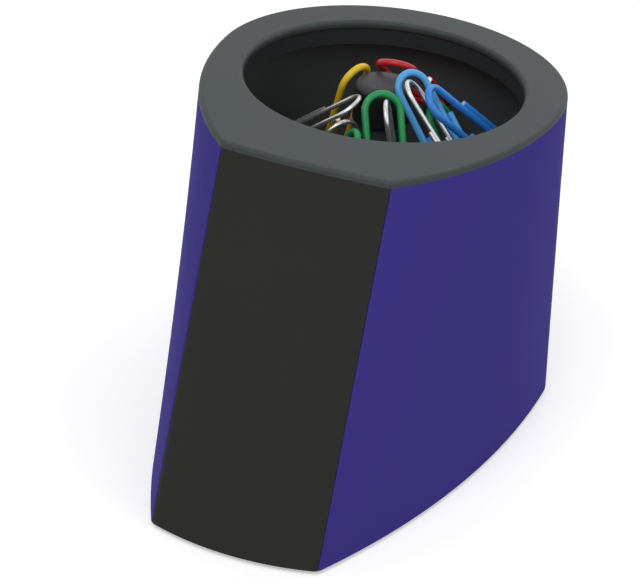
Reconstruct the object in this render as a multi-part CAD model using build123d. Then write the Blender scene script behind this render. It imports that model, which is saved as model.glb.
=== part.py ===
from build123d import *
from math import asin, cos, radians, sin, sqrt
import os

# Magnetic paper clip holder. Millimetres, +Z up, front towards -Y.
# Y is first measured from the axis of the mouth, and every piece is then moved
# so that the origin lies under the middle of the whole object.

# Outline of the body at the rim
top_half_width = 30.0
top_widest_y = 3.0
top_front_half = 14.1
top_front_y = -35.5
top_front_bow = 0.6
top_back_y = 31.0

# Outline of the body at its bottom edge
bottom_half_width = 31.2
bottom_widest_y = 14.5
bottom_front_half = 14.5
bottom_front_y = -55.0
bottom_front_bow = 2.4
bottom_back_y = 31.0

# Body, and the lap between its shell and its front panel
body_height = 60.5
corner_round = 2.0
wall = 2.0
fit_gap = 0.2
seam_gap = 0.1
lap_depth = 1.0
lap_reach = 3.0

# Rim: a thin edge on the body's walls, and a thicker middle dropped between them
rim_edge = 1.0
rim_edge_round = 0.7
rim_depth = 3.0
rim_lip = 1.2
mouth_radius = 23.5
mouth_edge_round = 0.8

# Paper clips
clip_length = 28.0
clip_bend = 3.0
clip_step = 1.35
clip_inner_gap = 5.5
clip_outer_end = 9.0
clip_inner_end = 11.0
coated_wire = 1.2
bare_wire = 0.8
lean_rounds = 4
reach_grain = 0.001

# Liner and tray that hold the clips
liner_wall = 1.4
liner_step = 0.3
neck_wall = 1.2
tray_spare = 3.0
tray_thickness = 1.6
tray_rib_wall = 1.2
tray_rib_height = 1.5
stem_radius = 4.0
stem_wall = 1.4
spigot_height = 2.0

# Magnet under its cap
cap_radius = 4.85
cap_height = 7.0
cap_crown = 0.5
cap_edge_round = 1.4
cap_below_rim = 0.3
cap_wall = 0.8
cap_boss_radius = 1.5
magnet_height = 3.6
magnet_plate_thickness = 1.0
magnet_gap = 0.1
magnet_screw_radius = 0.8
magnet_screw_head_radius = 1.7
magnet_screw_head = 1.1
magnet_screw_bite = 2.6

# Base plate, its pillar and screws
base_thickness = 2.4
pillar_radius = 8.0
pillar_wall = 1.6
boss_radius = 3.0
boss_height = 12.0
boss_front_inset = 25.0
boss_back_inset = 11.0
boss_land = 1.8
boss_rib = 1.6
base_screw_radius = 1.2
base_screw_length = 8.0
base_screw_head_radius = 2.4
base_screw_head = 1.2
screw_gap = 0.2
thread_gap = 0.05
slot_width_share = 0.35
slot_length_share = 1.3
slot_depth_share = 0.5

# Rubber feet
foot_radius = 4.0
foot_thickness = 1.6
foot_drop = 0.8
foot_front_inset = 9.0
foot_front_side = 6.5
foot_back_room = 1.0

# Heights worked out from the sizes above
bottom_z = foot_drop
base_top_z = bottom_z + base_thickness
base_screw_seat_z = bottom_z + base_screw_head + screw_gap
rim_top_z = bottom_z + body_height
rim_seat_z = rim_top_z - rim_edge
rim_under_z = rim_top_z - rim_depth
tray_top_z = rim_top_z - clip_length - tray_spare
tray_under_z = tray_top_z - tray_thickness
cap_top_z = rim_top_z - cap_below_rim
stem_top_z = cap_top_z - cap_height
stem_bore_z = stem_top_z - stem_wall
magnet_z = stem_top_z + magnet_plate_thickness
magnet_top_z = magnet_z + magnet_height
cap_roof_z = magnet_top_z + magnet_gap

# Radii and insets worked out from the sizes above
liner_inset = wall + fit_gap
bin_inset = liner_inset + liner_wall
rib_inset = bin_inset + fit_gap
neck_inner = mouth_radius + liner_step
neck_outer = neck_inner + neck_wall
cap_inner = cap_radius - cap_wall
magnet_outer = cap_inner - magnet_gap
magnet_inner = cap_boss_radius + magnet_gap
stem_bore = stem_radius - stem_wall
pillar_bore = pillar_radius - pillar_wall
front_reach = bottom_front_bow - bottom_front_y
origin_shift = (front_reach - max(top_back_y, bottom_back_y)) / 2


class Outline:
    """A shield: bowed front, arched sides and a round back."""

    def __init__(self, half_width, widest_y, front_half, front_y, bow, back_y):
        self.half_width = half_width
        self.widest_y = widest_y
        self.front_half = front_half
        self.front_y = front_y
        self.bow = bow
        self.back_y = back_y

    def side_radius(self):
        spread = self.half_width - self.front_half
        length = self.widest_y - self.front_y
        return (spread**2 + length**2) / (2 * spread)

    def half_width_at(self, y):
        if y > self.widest_y:
            share = (y - self.widest_y) / (self.back_y - self.widest_y)
            return self.half_width * sqrt(1 - share**2)
        radius = self.side_radius()
        return self.half_width - radius + sqrt(radius**2 - (self.widest_y - y) ** 2)

    def sizes(self):
        return (
            self.half_width,
            self.widest_y,
            self.front_half,
            self.front_y,
            self.bow,
            self.back_y,
        )

    def holds(self, x, y):
        return self.front_y < y < self.back_y and abs(x) < self.half_width_at(y)

    def reach(self, x, y, heading):
        """How far the outline lies from a point inside it, along a heading."""
        near = 0
        far = self.back_y - self.front_y
        while far - near > reach_grain:
            middle = (near + far) / 2
            if self.holds(x + middle * cos(heading), y + middle * sin(heading)):
                near = middle
            else:
                far = middle
        return near

    def inset(self, depth):
        turn = (self.widest_y - self.front_y) / self.side_radius()
        corner_step = depth * (1 - turn) / sqrt(1 - turn**2)
        return Outline(
            self.half_width - depth,
            self.widest_y,
            self.front_half - corner_step,
            self.front_y + depth,
            self.bow,
            self.back_y - depth,
        )

    def face(self, z):
        left, right = -self.half_width, self.half_width
        side_y = (self.front_y + self.widest_y) / 2
        side_x = self.half_width_at(side_y)
        back_depth = self.back_y - self.widest_y
        centre = (0, self.widest_y)
        front_left = (-self.front_half, self.front_y)
        front_right = (self.front_half, self.front_y)
        front = ThreePointArc(front_left, (0, self.front_y - self.bow), front_right)
        right_side = ThreePointArc(front_right, (side_x, side_y), (right, self.widest_y))
        back = EllipticalCenterArc(centre, right, back_depth, start_angle=0, arc_size=180)
        left_side = ThreePointArc((left, self.widest_y), (-side_x, side_y), front_left)
        return Pos(0, 0, z) * make_face([front, right_side, back, left_side])


top_outline = Outline(
    top_half_width, top_widest_y, top_front_half, top_front_y, top_front_bow, top_back_y
)
bottom_outline = Outline(
    bottom_half_width,
    bottom_widest_y,
    bottom_front_half,
    bottom_front_y,
    bottom_front_bow,
    bottom_back_y,
)


def outline_at(z):
    """The body's outline at a height."""
    share = (rim_top_z - z) / body_height
    pairs = zip(top_outline.sizes(), bottom_outline.sizes())
    return Outline(*[top + (bottom - top) * share for top, bottom in pairs])


def form(inset):
    """The body's form from its bottom edge to the rim's top, drawn in by an inset."""
    low = bottom_outline.inset(inset).face(bottom_z)
    high = top_outline.inset(inset).face(rim_top_z)
    return loft([low, high], ruled=True)


def between(low_z, high_z):
    """A block wider than the body, from one height to another."""
    width = 4 * max(top_half_width, bottom_half_width)
    depth = 4 * front_reach
    return Pos(0, 0, (low_z + high_z) / 2) * Box(width, depth, high_z - low_z)


def layer(outer_inset, inner_inset, low_z, high_z):
    """A sleeve of the body's form, from one height to another."""
    return (form(outer_inset) - form(inner_inset)) & between(low_z, high_z)


def front_wedge(widen):
    """The space of the front panel, split from the sides along the mitred corners."""
    depth = 3 * wall

    def section(outline, z):
        outside = outline.inset(-depth)
        inside = outline.inset(depth)
        corners = [
            (-outside.front_half - widen, outside.front_y),
            (outside.front_half + widen, outside.front_y),
            (inside.front_half + widen, inside.front_y),
            (-inside.front_half - widen, inside.front_y),
        ]
        return Pos(0, 0, z) * make_face(Polyline(corners, close=True))

    return loft([section(bottom_outline, bottom_z), section(top_outline, rim_top_z)], ruled=True)


def rounded_body():
    """The outer form with its two front corners rounded."""
    sharp = form(0)
    slanted = [edge for edge in sharp.edges() if edge.bounding_box().size.Z > rim_depth]
    front_corners = sorted(slanted, key=lambda edge: edge.center().Y)[:2]
    return fillet(front_corners, corner_round)


def rod(radius, low_z, high_z, x=0, y=0):
    return Pos(x, y, (low_z + high_z) / 2) * Cylinder(radius, high_z - low_z)


def ring(outer_radius, inner_radius, low_z, high_z):
    return rod(outer_radius, low_z, high_z) - rod(inner_radius, low_z, high_z)


def screw(shank_radius, shank_length, head_radius, head_height, seat_z, x=0, y=0):
    """A screw driven upwards, its head under the seat and a cross slot in the head."""
    head_z = seat_z - head_height
    body = rod(shank_radius, seat_z, seat_z + shank_length, x, y)
    body += rod(head_radius, head_z, seat_z, x, y)
    slot_width = head_radius * slot_width_share
    slot_length = head_radius * slot_length_share
    slot_depth = head_height * slot_depth_share
    slot = Box(slot_length, slot_width, slot_depth) + Box(slot_width, slot_length, slot_depth)
    return body - Pos(x, y, head_z + slot_depth / 2) * slot


body = rounded_body()
walls = body - form(wall)


def boss_places():
    """The four screw bosses, each far enough in for its screw head to clear the wall."""
    edge_room = wall + fit_gap + boss_land + screw_gap + base_screw_head_radius
    places = []
    for y in (bottom_front_y + boss_front_inset, bottom_back_y - boss_back_inset):
        x = bottom_outline.half_width_at(y) - edge_room
        places += [(-x, y), (x, y)]
    return places


def boss(x, y):
    """A screw boss with the rib that ties it to the wall beside it."""
    top_z = base_top_z + boss_height
    wall_x = bottom_outline.half_width_at(y) - wall / 2
    rib_end = wall_x if x > 0 else -wall_x
    rib = Box(abs(rib_end - x), boss_rib, boss_height)
    post = rod(boss_radius, base_top_z, top_z, x, y)
    return post + Pos((x + rib_end) / 2, y, (base_top_z + top_z) / 2) * rib


def outer_shell():
    shell = walls & between(bottom_z, rim_seat_z)
    shell -= front_wedge(seam_gap)
    shell -= layer(lap_depth, wall, bottom_z, rim_seat_z) & front_wedge(lap_reach + fit_gap)
    for x, y in boss_places():
        shell += boss(x, y) & body
        shell -= rod(base_screw_radius + thread_gap, base_top_z, base_top_z + boss_height, x, y)
    return shell


def front_panel():
    panel = walls & front_wedge(0) & between(bottom_z, rim_seat_z)
    lap = layer(lap_depth + seam_gap, wall, bottom_z, rim_seat_z)
    return panel + (lap & front_wedge(lap_reach))


def top_rim():
    plate = body & between(rim_seat_z, rim_top_z + rim_depth)
    plate = fillet(plate.edges().group_by(Axis.Z)[-1], rim_edge_round)
    plate += form(liner_inset) & between(rim_under_z, rim_seat_z)
    plate -= rod(mouth_radius, rim_under_z, rim_top_z)
    mouth_edge = plate.edges().filter_by(GeomType.CIRCLE).group_by(Axis.Z)[-1]
    plate = fillet(mouth_edge, mouth_edge_round)
    return plate - rod(neck_outer + fit_gap, rim_under_z, rim_top_z - rim_lip)


def clip_liner():
    ceiling_z = rim_under_z - liner_wall
    liner = form(liner_inset) & between(tray_top_z, rim_under_z)
    liner -= form(bin_inset) & between(tray_top_z, ceiling_z)
    liner -= rod(neck_inner, ceiling_z, rim_under_z)
    return liner + ring(neck_outer, neck_inner, rim_under_z, rim_top_z - rim_lip)


def clip_tray():
    tray = form(liner_inset) & between(tray_under_z, tray_top_z)
    rib_top_z = tray_top_z + tray_rib_height
    tray += layer(rib_inset, rib_inset + tray_rib_wall, tray_top_z, rib_top_z)
    tray += rod(stem_radius, tray_top_z, stem_top_z)
    tray += rod(pillar_bore - fit_gap, tray_under_z - spigot_height, tray_under_z)
    tray -= rod(stem_bore, tray_under_z - spigot_height, stem_bore_z)
    return tray - rod(magnet_screw_radius + screw_gap, stem_bore_z, stem_top_z)


def magnet_cap():
    crown_radius = (cap_radius**2 + cap_crown**2) / (2 * cap_crown)
    cap = rod(cap_radius, stem_top_z, cap_top_z)
    cap &= Pos(0, 0, cap_top_z - crown_radius) * Sphere(crown_radius)
    shoulder = cap.edges().filter_by(lambda edge: edge.is_closed).group_by(Axis.Z)[-1]
    cap = fillet(shoulder, cap_edge_round)
    cap -= rod(cap_inner, stem_top_z, cap_roof_z)
    cap += rod(cap_boss_radius, magnet_z, cap_roof_z)
    return cap - rod(magnet_screw_radius + thread_gap, magnet_z, magnet_z + magnet_screw_bite)


def magnet_plate():
    return ring(magnet_outer, magnet_screw_radius + screw_gap, stem_top_z, magnet_z)


def ring_magnet():
    return ring(magnet_outer, magnet_inner, magnet_z, magnet_top_z)


def magnet_screw():
    length = stem_wall + magnet_plate_thickness + magnet_screw_bite - thread_gap
    head = magnet_screw_head
    return screw(magnet_screw_radius, length, magnet_screw_head_radius, head, stem_bore_z)


def foot_places():
    """The four feet by name: two near the front corners and two beside the back screws."""
    front_x = bottom_front_half - foot_front_side
    front_y = bottom_front_y + foot_front_inset
    screw_x, back_y = boss_places()[-1]
    back_x = screw_x - base_screw_head_radius - screw_gap - foot_back_room - fit_gap - foot_radius
    return {
        "foot_front_left": (-front_x, front_y),
        "foot_front_right": (front_x, front_y),
        "foot_back_left": (-back_x, back_y),
        "foot_back_right": (back_x, back_y),
    }


def base_plate():
    plate = form(wall + fit_gap) & between(bottom_z, base_top_z)
    plate += ring(pillar_radius, pillar_bore, base_top_z, tray_under_z)
    for x, y in boss_places():
        plate -= rod(base_screw_radius + screw_gap, bottom_z, base_top_z, x, y)
        plate -= rod(base_screw_head_radius + screw_gap, bottom_z, base_screw_seat_z, x, y)
    for x, y in foot_places().values():
        plate -= rod(foot_radius + fit_gap, bottom_z, foot_thickness, x, y)
    return plate


def base_screws():
    screws = []
    for x, y in boss_places():
        head = base_screw_head_radius
        height = base_screw_head
        seat_z = base_screw_seat_z
        screws.append(screw(base_screw_radius, base_screw_length, head, height, seat_z, x, y))
    return Compound(screws)


class PaperClip:
    """A bent wire that leans on the magnet, placed by the middle of its top bend.

    The bend lies off_cap from the cap's side, round the axis by bearing and above
    the rim by rise. The clip then runs down towards heading until its low end is
    wall_gap from the liner, and is rolled about its own length. Hand is -1 for a
    turned-over clip.
    """

    def __init__(self, wire, hand, bearing, off_cap, rise, heading, wall_gap, roll):
        self.wire = wire
        self.hand = hand
        reach = cap_radius + off_cap
        self.x = reach * cos(radians(bearing))
        self.y = reach * sin(radians(bearing))
        self.z = rim_top_z + rise
        self.heading = radians(heading)
        self.wall_gap = wall_gap
        self.roll = radians(roll)

    def lean(self):
        """The lean from the upright that brings the low end to its place."""
        low_z = self.z - clip_length
        for _ in range(lean_rounds):
            room = outline_at(low_z).inset(bin_inset).reach(self.x, self.y, self.heading)
            angle = asin((room - self.wall_gap) / clip_length)
            low_z = self.z - clip_length * cos(angle)
        return angle

    def plane(self):
        lean = self.lean()
        ahead = Vector(cos(self.heading), sin(self.heading), 0)
        upright = Vector(0, 0, 1)
        down = ahead * sin(lean) - upright * cos(lean)
        outward = ahead * cos(lean) + upright * sin(lean)
        across = down.cross(outward) * cos(self.roll) + outward * sin(self.roll)
        top = Vector(self.x, self.y, self.z)
        return Plane(origin=top, x_dir=across, z_dir=across.cross(down))

    def point(self, across, down):
        return (self.hand * across, down)

    def half_turn(self, start_across, end_across, down, bulge):
        middle = (start_across + end_across) / 2
        start = self.point(start_across, down)
        end = self.point(end_across, down)
        return ThreePointArc(start, self.point(middle, down + bulge), end)

    def run(self, across, start_down, end_down):
        return Line(self.point(across, start_down), self.point(across, end_down))

    def solid(self):
        low_bend = clip_bend + clip_step / 2
        inner_bend = clip_bend - clip_step / 2
        low = clip_length - low_bend
        inner_low = clip_length - clip_inner_gap - inner_bend
        outer_leg = -clip_bend - clip_step
        inner_leg = clip_bend - clip_step
        path = Wire(
            [
                self.run(outer_leg, clip_outer_end, low),
                self.half_turn(outer_leg, clip_bend, low, low_bend),
                self.run(clip_bend, low, clip_bend),
                self.half_turn(clip_bend, -clip_bend, clip_bend, -clip_bend),
                self.run(-clip_bend, clip_bend, inner_low),
                self.half_turn(-clip_bend, inner_leg, inner_low, inner_bend),
                self.run(inner_leg, inner_low, clip_inner_end),
            ]
        )
        section = Plane(origin=path @ 0, z_dir=path % 0) * Circle(self.wire / 2)
        return self.plane() * sweep(section, path=path)


paper_clips = {
    "paper_clip_yellow": PaperClip(
        coated_wire, -1, bearing=170, off_cap=0.25, rise=0.25, heading=137, wall_gap=15.7, roll=21
    ),
    "paper_clip_red": PaperClip(
        coated_wire, -1, bearing=88, off_cap=-1.6, rise=1.5, heading=89, wall_gap=1.5, roll=5
    ),
    "paper_clip_blue_near": PaperClip(
        coated_wire, 1, bearing=-13, off_cap=-0.85, rise=2.0, heading=-15, wall_gap=4.5, roll=-15
    ),
    "paper_clip_blue_far": PaperClip(
        coated_wire, 1, bearing=-26, off_cap=5.4, rise=1.0, heading=41, wall_gap=1.1, roll=-29
    ),
    "paper_clip_green_front": PaperClip(
        coated_wire, 1, bearing=-74, off_cap=3.15, rise=0.75, heading=-56, wall_gap=11.0, roll=-1
    ),
    "paper_clip_green_right": PaperClip(
        coated_wire, 1, bearing=16, off_cap=3.75, rise=-4.0, heading=-16, wall_gap=2.3, roll=6
    ),
    "paper_clip_green_left": PaperClip(
        coated_wire, -1, bearing=-87, off_cap=9.15, rise=-4.25, heading=209, wall_gap=13.3, roll=1
    ),
    "paper_clip_steel_front": PaperClip(
        bare_wire, -1, bearing=-69, off_cap=5.8, rise=0.5, heading=-8, wall_gap=13.6, roll=24
    ),
    "paper_clip_steel_right": PaperClip(
        bare_wire, -1, bearing=-31, off_cap=1.15, rise=1.75, heading=-14, wall_gap=1.0, roll=21
    ),
    "paper_clip_steel_left": PaperClip(
        bare_wire, -1, bearing=-103, off_cap=2.85, rise=-1.5, heading=178, wall_gap=1.8, roll=7
    ),
    "paper_clip_steel_low": PaperClip(
        bare_wire, 1, bearing=-108, off_cap=3.35, rise=-5.5, heading=204, wall_gap=8.0, roll=-56
    ),
}

nodes = {
    "outer_shell": outer_shell(),
    "front_panel": front_panel(),
    "top_rim": top_rim(),
    "clip_liner": clip_liner(),
    "clip_tray": clip_tray(),
    "magnet_cap": magnet_cap(),
    "ring_magnet": ring_magnet(),
    "magnet_plate": magnet_plate(),
    "magnet_screw": magnet_screw(),
    "base_plate": base_plate(),
    "base_screws": base_screws(),
}
for foot_name, (foot_x, foot_y) in foot_places().items():
    nodes[foot_name] = rod(foot_radius, 0, foot_thickness, foot_x, foot_y)
for clip_name, paper_clip in paper_clips.items():
    nodes[clip_name] = paper_clip.solid()

os.makedirs("parts", exist_ok=True)
for name, piece in nodes.items():
    export_step(Pos(0, origin_shift, 0) * piece, f"parts/{name}.step")
    print(name, len(piece.solids()), round(piece.volume, 1))
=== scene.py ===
import bpy
from math import cos, radians, sin
from mathutils import Color, Matrix, Vector


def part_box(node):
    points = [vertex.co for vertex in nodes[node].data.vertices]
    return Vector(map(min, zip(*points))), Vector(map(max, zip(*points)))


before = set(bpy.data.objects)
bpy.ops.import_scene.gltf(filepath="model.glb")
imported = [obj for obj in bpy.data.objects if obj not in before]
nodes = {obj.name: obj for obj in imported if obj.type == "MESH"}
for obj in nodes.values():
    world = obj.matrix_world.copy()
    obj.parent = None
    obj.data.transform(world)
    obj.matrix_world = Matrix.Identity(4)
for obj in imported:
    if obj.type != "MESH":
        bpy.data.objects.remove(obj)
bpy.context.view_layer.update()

print("frame loaded:", len(nodes), "nodes")


class Signal:  # a shader socket that can be used in sums
    def __init__(self, tree, socket=None):
        self.tree = tree
        self.socket = socket

    def feed(self, node, sockets):  # a value or a link into each socket
        for key, value in sockets.items():
            if isinstance(value, Signal):
                self.tree.links.new(value.socket, node.inputs[key])
            else:
                node.inputs[key].default_value = value

    def node(self, kind, settings, sockets, out=0):  # any node, its settings first
        made = self.tree.nodes.new(kind)
        for name, value in settings.items():
            setattr(made, name, value)
        self.feed(made, sockets)
        return Signal(self.tree, made.outputs[out])

    def maths(self, operation, first, second):
        return self.node("ShaderNodeMath", {"operation": operation}, {0: first, 1: second})

    def __add__(self, other):
        return self.maths("ADD", self, other)

    def __radd__(self, other):
        return self.maths("ADD", other, self)

    def __sub__(self, other):
        return self.maths("SUBTRACT", self, other)

    def __rsub__(self, other):
        return self.maths("SUBTRACT", other, self)

    def __mul__(self, other):
        return self.maths("MULTIPLY", self, other)

    def __rmul__(self, other):
        return self.maths("MULTIPLY", other, self)


noiseMiddle = 0.5
screenWhite = 255


def noise(place, scale, detail):
    return place.node("ShaderNodeTexNoise", {}, {"Vector": place, "Scale": scale, "Detail": detail})


def drift(texture, spread):  # a noise as a change to both sides
    return (texture - noiseMiddle) * spread


def stretched(place, scale):  # coordinates drawn out along one way
    return place.node("ShaderNodeMapping", {}, {"Vector": place, "Scale": scale})


def distanceFrom(place, point):
    sockets = {0: place, 1: point}
    return place.node("ShaderNodeVectorMath", {"operation": "DISTANCE"}, sockets, "Value")


def heightOf(vector):
    return vector.node("ShaderNodeSeparateXYZ", {}, {"Vector": vector}, "Z")


def ramped(value, ends):  # 0 at the first end, 1 at the second
    sockets = {"Value": value, "From Min": ends[0], "From Max": ends[1]}
    return value.node("ShaderNodeMapRange", {}, sockets)


def mixed(share, first, second):  # two colours by a share, through the colour sockets 6, 7 and 2
    return share.node("ShaderNodeMix", {"data_type": "RGBA"}, {"Factor": share, 6: first, 7: second}, 2)


def screenColour(shade):  # 0-255 screen values to scene colour
    return (*Color([value / screenWhite for value in shade]).from_srgb_to_scene_linear(), 1.0)


def twoTone(share, first, second):  # two screen colours by a share
    return mixed(share, screenColour(first), screenColour(second))


def bumped(height, strength, distance):
    sockets = {"Height": height, "Strength": strength, "Distance": distance}
    return height.node("ShaderNodeBump", {}, sockets)


def newFinish(name):  # a material, its shader and the place on the piece
    material = bpy.data.materials.new(name)
    material.use_nodes = True
    tree = material.node_tree
    place = Signal(tree).node("ShaderNodeTexCoord", {}, {}, "Object")
    return material, tree.nodes["Principled BSDF"], place


mouldGrain = {  # what all the moulded pieces have alike
    "cloudDetail": 3.0,
    "grainDetail": 2.0,
    "cloudShare": 0.6,  # of the change in shade, the grain makes the rest
    "grainGloss": 0.1,
    "grainDepth": 0.00004,
}
shellLook = {  # indigo wall, nearly smooth
    "colour": (62, 54, 135),
    "lift": (66, 58, 141),
    "roughness": 0.65,
    "glossDrift": 0.12,
    "sheen": 0.02,
    "cloudScale": 45.0,  # to the metre
    "grainScale": 2600.0,
    "grainStrength": 0.12,
}
panelLook = {  # black slanting front, and the base plate
    "colour": (38, 38, 36),
    "lift": (43, 43, 41),
    "roughness": 0.5,
    "glossDrift": 0.12,
    "sheen": 0.12,
    "cloudScale": 45.0,
    "grainScale": 2600.0,
    "grainStrength": 0.25,
}
binLook = {  # liner and tray; grey, lighter than the black plastic, as painted light against the shade inside the bin
    "colour": (75, 78, 80),
    "lift": (81, 84, 86),
    # painted shade: the neck darker than the bin, to offset the stronger light it gets
    "neckPaintedShade": (47, 50, 52),
    "neckPaintedShadeLift": (52, 55, 57),
    "neckDrop": (0.0020, 0.0012),  # under the rim, where the neck starts
    "roughness": 0.6,
    "glossDrift": 0.12,
    "sheen": 0.08,
    "cloudScale": 60.0,
    "grainScale": 2200.0,
    "grainStrength": 0.25,
}
rimLook = {  # slate grey, with the strongest grain of the body
    "colour": (55, 60, 60),
    "lift": (60, 65, 65),
    # painted light: the rim's top lighter than its outer wall, which is left darker as painted shade
    "paintedTopLight": (63, 69, 70),
    "paintedTopLightLift": (69, 75, 76),
    "topLightAndRubSlope": (0.3, 0.95),  # steepest and flattest slope of the part with painted top light, which is also made smoother
    "wornGloss": 0.04,
    "roughness": 0.55,
    "glossDrift": 0.1,
    "sheen": 0.2,
    "cloudScale": 50.0,
    "grainScale": 2400.0,
    "grainStrength": 0.3,
}
capLook = {  # round cap over the magnet
    "colour": (33, 33, 34),
    "lift": (38, 38, 39),
    # painted light: the cap's top much lighter than its dark sides
    "paintedTopLight": (63, 62, 65),
    "paintedTopLightLift": (70, 69, 72),
    "topLightAndRubSlope": (0.1, 0.8),
    "wornGloss": 0.08,
    "roughness": 0.5,
    "glossDrift": 0.12,
    "sheen": 0.15,
    "cloudScale": 120.0,
    "grainScale": 2600.0,
    "grainStrength": 0.2,
}


def mouldedPlastic(name, look):  # fine mould grain and a faint unevenness of gloss
    material, shader, place = newFinish(name)
    cloud = noise(place, look["cloudScale"], mouldGrain["cloudDetail"])
    grain = noise(place, look["grainScale"], mouldGrain["grainDetail"])
    shade = cloud * mouldGrain["cloudShare"] + grain * (1 - mouldGrain["cloudShare"])
    gloss = look["roughness"] + drift(cloud, look["glossDrift"]) + drift(grain, mouldGrain["grainGloss"])
    body = twoTone(shade, look["colour"], look["lift"])
    if "paintedTopLight" in look:  # painted light: upturned faces lighter than the sides, which are left darker as painted shade; the same faces made a little smoother, rubbed by clips or hands
        facing = place.node("ShaderNodeNewGeometry", {}, {}, "Normal")
        litTopAndRubbed = ramped(heightOf(facing), look["topLightAndRubSlope"])
        body = mixed(litTopAndRubbed, body, twoTone(shade, look["paintedTopLight"], look["paintedTopLightLift"]))
        gloss = gloss - litTopAndRubbed * look["wornGloss"]
    if "neckPaintedShade" in look:  # the mouth's lining above the wider bin, painted darker as painted shade because the lamps light it more than the bin
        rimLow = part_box("top_rim")[0].z
        neckPaintedShade = ramped(heightOf(place), [rimLow - drop for drop in look["neckDrop"]])
        body = mixed(neckPaintedShade, body, twoTone(shade, look["neckPaintedShade"], look["neckPaintedShadeLift"]))
    place.feed(shader, {
        "Base Color": body,
        "Roughness": gloss,
        "Specular IOR Level": look["sheen"],
        "Normal": bumped(grain, look["grainStrength"], mouldGrain["grainDepth"]),
    })
    return material


clipCoat = {  # what all the coated clips have alike
    "wire": 0.0012,
    "core": (196, 196, 198),
    "coreShade": (170, 170, 172),
    "coreEdge": (0.00044, 0.0004),  # from the middle of the wire
    "cloudScale": 160.0,
    "fineScale": 900.0,
    "detail": 2.0,
    "roughness": 0.32,
    "glossDrift": 0.15,
    "sheen": 0.3,
    "coat": 0.15,
    "coatRoughness": 0.12,
    "fineBump": 0.3,  # beside the broad unevenness
    "bump": 0.25,
    "bumpDepth": 0.00002,
}
cutFace = {  # how a cut end is told from the bends, in radii of the wire
    "radiusOff": 0.02,
    "middleOff": 0.1,
    "leastArea": 1.5,  # a whole disc has about 3.1
}
coats = {
    "yellow": {"colour": (246, 208, 44), "shade": (236, 194, 34), "clips": ["yellow"]},
    "red": {"colour": (206, 40, 48), "shade": (192, 34, 42), "clips": ["red"]},
    "paleBlue": {"colour": (92, 182, 244), "shade": (76, 166, 234), "clips": ["blue_near"]},
    "deepBlue": {"colour": (58, 150, 236), "shade": (42, 128, 220), "clips": ["blue_far"]},
    "green": {
        "colour": (20, 156, 86),
        "shade": (14, 140, 74),
        "clips": ["green_front", "green_right", "green_left"],
    },
}


def roundMiddle(first, second, third):  # middle of the circle through three corners
    along, across = second - first, third - first
    upright = along.cross(across)
    if upright.length_squared == 0:  # all in one line
        return None
    towards = upright.cross(along) * across.length_squared
    towards += across.cross(upright) * along.length_squared
    return first + towards / (2 * upright.length_squared)


def cutEnds(node):  # middles of the two round faces where the wire was cut
    mesh = nodes[node].data
    wireRadius = clipCoat["wire"] / 2
    radiusOff = cutFace["radiusOff"] * wireRadius
    middleOff = cutFace["middleOff"] * wireRadius
    leastArea = cutFace["leastArea"] * wireRadius**2
    ends = []
    for face in mesh.polygons:
        corners = [mesh.vertices[corner].co for corner in face.vertices]
        middle = roundMiddle(*corners)
        if middle is None or abs((corners[0] - middle).length - wireRadius) > radiusOff:
            continue
        near = [end for end in ends if (end["middle"] - middle).length < middleOff]
        if near:
            near[0]["area"] += face.area
        else:
            ends.append({"middle": middle, "area": face.area})
    return [end["middle"] for end in ends if end["area"] > leastArea]


def coatedWire(name, look, node):  # plastic coat over wire, bare steel where it was cut
    material, shader, place = newFinish(name)
    cloud = noise(place, clipCoat["cloudScale"], clipCoat["detail"])
    fine = noise(place, clipCoat["fineScale"], clipCoat["detail"])
    bare = [ramped(distanceFrom(place, middle), clipCoat["coreEdge"]) for middle in cutEnds(node)]
    core = sum(bare, fine * 0)  # nothing but the cut ends
    steel = twoTone(fine, clipCoat["core"], clipCoat["coreShade"])
    coat = twoTone(cloud, look["colour"], look["shade"])
    uneven = cloud + fine * clipCoat["fineBump"]
    place.feed(shader, {
        "Base Color": mixed(core, coat, steel),
        "Roughness": clipCoat["roughness"] + drift(fine, clipCoat["glossDrift"]),
        "Metallic": core,
        "Specular IOR Level": clipCoat["sheen"],
        "Coat Weight": (1 - core) * clipCoat["coat"],
        "Coat Roughness": clipCoat["coatRoughness"],
        "Normal": bumped(uneven, clipCoat["bump"], clipCoat["bumpDepth"]),
    })
    return material


drawnMarks = {  # what the metal pieces have alike
    "cloudScale": 160.0,
    "cloudDetail": 3.0,
    "markScale": 900.0,
    "markDetail": 2.0,
    "markShare": 0.5,  # of the change in shade
    "glossDrift": 0.14,
    "bump": 0.2,
    "bumpDepth": 0.00002,
}
nickelLook = {  # bare clips
    "colour": (216, 216, 216),
    "shade": (198, 198, 199),
    "roughness": 0.24,
    "metal": 0.8,
    "markStretch": (1.0, 1.0, 0.25),
}
screwLook = {  # screws and the disc under the magnet
    "colour": (203, 203, 205),
    "shade": (188, 188, 191),
    "roughness": 0.32,
    "metal": 1.0,
    "markStretch": (1.0, 0.3, 1.0),
}


def brightMetal(name, look):  # plated metal with fine drawing marks
    material, shader, place = newFinish(name)
    cloud = noise(place, drawnMarks["cloudScale"], drawnMarks["cloudDetail"])
    lines = stretched(place, look["markStretch"])
    marks = noise(lines, drawnMarks["markScale"], drawnMarks["markDetail"])
    share = cloud * (1 - drawnMarks["markShare"]) + marks * drawnMarks["markShare"]
    place.feed(shader, {
        "Base Color": twoTone(share, look["colour"], look["shade"]),
        "Roughness": look["roughness"] + drift(marks, drawnMarks["glossDrift"]),
        "Metallic": look["metal"],
        "Normal": bumped(marks, drawnMarks["bump"], drawnMarks["bumpDepth"]),
    })
    return material


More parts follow.
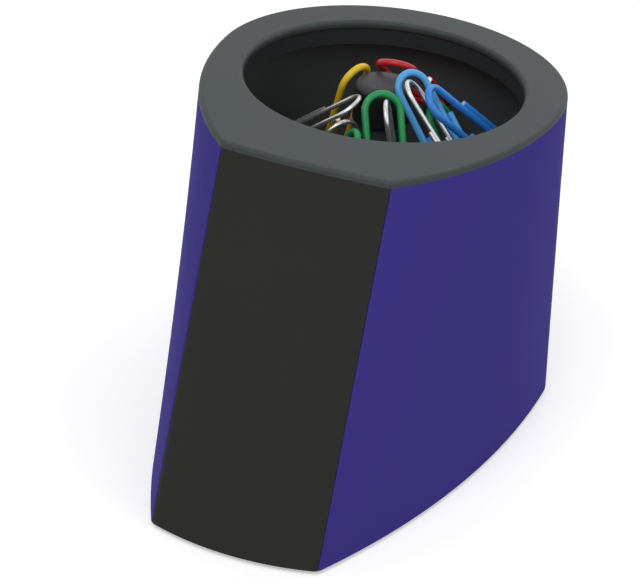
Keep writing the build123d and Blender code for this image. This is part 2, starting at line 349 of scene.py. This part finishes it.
dullGrain = {  # what rubber and magnet have alike
    "detail": 4.0,
    "glossDrift": 0.15,
    "bumpDepth": 0.00008,
}
ferriteLook = {
    "colour": (46, 46, 48),
    "lift": (58, 58, 60),
    "roughness": 0.6,
    "grainScale": 1500.0,
    "bump": 0.4,
}
footLook = {
    "colour": (28, 28, 28),
    "lift": (40, 40, 40),
    "roughness": 0.8,
    "grainScale": 2200.0,
    "bump": 0.5,
}


def dullSolid(name, look):  # rubber and sintered magnet, with a visible grain
    material, shader, place = newFinish(name)
    grain = noise(place, look["grainScale"], dullGrain["detail"])
    place.feed(shader, {
        "Base Color": twoTone(grain, look["colour"], look["lift"]),
        "Roughness": look["roughness"] + drift(grain, dullGrain["glossDrift"]),
        "Normal": bumped(grain, look["bump"], dullGrain["bumpDepth"]),
    })
    return material


steelClips = ["front", "right", "left", "low"]
footCorners = ["front_left", "front_right", "back_left", "back_right"]
finishes = [  # material and the nodes that wear it
    (mouldedPlastic("indigoShell", shellLook), ["outer_shell"]),
    (mouldedPlastic("blackPanel", panelLook), ["front_panel", "base_plate"]),
    (mouldedPlastic("blackBin", binLook), ["clip_liner", "clip_tray"]),
    (mouldedPlastic("slateRim", rimLook), ["top_rim"]),
    (mouldedPlastic("greyCap", capLook), ["magnet_cap"]),
    (brightMetal("nickelWire", nickelLook), ["paper_clip_steel_" + clip for clip in steelClips]),
    (brightMetal("platedSteel", screwLook), ["magnet_plate", "magnet_screw", "base_screws"]),
    (dullSolid("ferrite", ferriteLook), ["ring_magnet"]),
    (dullSolid("footRubber", footLook), ["foot_" + corner for corner in footCorners]),
]
for coatName, coatLook in coats.items():
    for clip in coatLook["clips"]:
        clipNode = "paper_clip_" + clip
        finishes.append((coatedWire(coatName + "Coat", coatLook, clipNode), [clipNode]))
for material, wearers in finishes:
    for wearer in wearers:
        mesh = nodes[wearer].data
        mesh.materials.clear()
        mesh.materials.append(material)
print("finishes set:", len(finishes))

studio = {
    "floorSize": 6.0,
    "floorColour": (0.86, 0.86, 0.86, 1),
    "floorRoughness": 0.9,
    "floorSheen": 0.0,
    "floorGlow": 0.42,  # seen by the camera and in mirrors, lights nothing
    "ambient": (0.5, 0.5, 0.5, 1),
    "unlit": (0, 0, 0, 1),
    "backdrop": (1, 1, 1, 1),
    "lampAim": (0, 0, 0.03),
}
lamps = {
    "key": {"place": (-0.05, -0.5, 0.85), "power": 2.6, "size": 0.5},
    "fill": {"place": (0.75, -0.35, 0.45), "power": 1.0, "size": 0.7},
    "back": {"place": (0.1, 0.7, 0.7), "power": 1.0, "size": 0.7},
}


def seenDirectly(start):  # 1 for the camera, mirrors and glass, 0 for plain light
    rays = ["Is Camera Ray", "Is Glossy Ray", "Is Transmission Ray"]
    return sum(start.node("ShaderNodeLightPath", {}, {}, ray) for ray in rays)


def addFloor():
    bpy.ops.object.select_all(action="DESELECT")
    bpy.ops.mesh.primitive_plane_add(size=studio["floorSize"], location=(0, 0, 0))
    floor = bpy.context.object
    floor.name = "floor"
    material, shader, place = newFinish("paleFloor")
    place.feed(shader, {
        "Base Color": studio["floorColour"],
        "Roughness": studio["floorRoughness"],
        "Specular IOR Level": studio["floorSheen"],
        "Emission Color": mixed(seenDirectly(place), studio["unlit"], studio["backdrop"]),
        "Emission Strength": studio["floorGlow"],
    })
    floor.data.materials.append(material)


def addAmbient():
    world = bpy.data.worlds.new("studio")
    world.use_nodes = True
    bpy.context.scene.world = world
    start = Signal(world.node_tree)
    sky = mixed(seenDirectly(start), studio["ambient"], studio["backdrop"])
    start.feed(world.node_tree.nodes["Background"], {"Color": sky})


def addLamp(name, look):
    lamp = bpy.data.lights.new(name, "AREA")
    lamp.energy = look["power"]
    lamp.size = look["size"]
    holder = bpy.data.objects.new(name, lamp)
    aim = Vector(studio["lampAim"]) - Vector(look["place"])
    turn = aim.to_track_quat("-Z", "Y").to_matrix().to_4x4()
    holder.matrix_world = Matrix.Translation(look["place"]) @ turn
    bpy.context.collection.objects.link(holder)


addFloor()
addAmbient()
for lampName, lampLook in lamps.items():
    addLamp(lampName, lampLook)
bpy.context.scene.view_settings.view_transform = "Standard"
print("floor and lamps set")

cameraView = {  # the photograph's, in metres and degrees
    "place": (0.10883, -0.32886, 0.22367),
    "azimuth": 18.865,
    "elevation": 29.582,
    "roll": 5.028,
    "lens": 132.49,  # this and the sensor in millimetres
    "sensor": 36.0,
    "nearest": 0.01,
}


def addCamera():
    turn = radians(cameraView["azimuth"])
    tilt = radians(cameraView["elevation"])
    roll = radians(cameraView["roll"])
    back = Vector((sin(turn) * cos(tilt), -cos(turn) * cos(tilt), sin(tilt)))
    level = Vector((0, 0, 1)).cross(back).normalized()
    upright = back.cross(level)
    right = level * cos(roll) + upright * sin(roll)
    up = upright * cos(roll) - level * sin(roll)
    lens = bpy.data.cameras.new("photoCamera")
    lens.sensor_fit = "HORIZONTAL"
    lens.sensor_width = cameraView["sensor"]
    lens.lens = cameraView["lens"]
    lens.clip_start = cameraView["nearest"]
    holder = bpy.data.objects.new("photoCamera", lens)
    place = Vector(cameraView["place"])
    rows = [(right[axis], up[axis], back[axis], place[axis]) for axis in range(3)]
    holder.matrix_world = Matrix(rows + [(0, 0, 0, 1)])
    bpy.context.collection.objects.link(holder)
    bpy.context.scene.camera = holder


addCamera()
print("camera set")
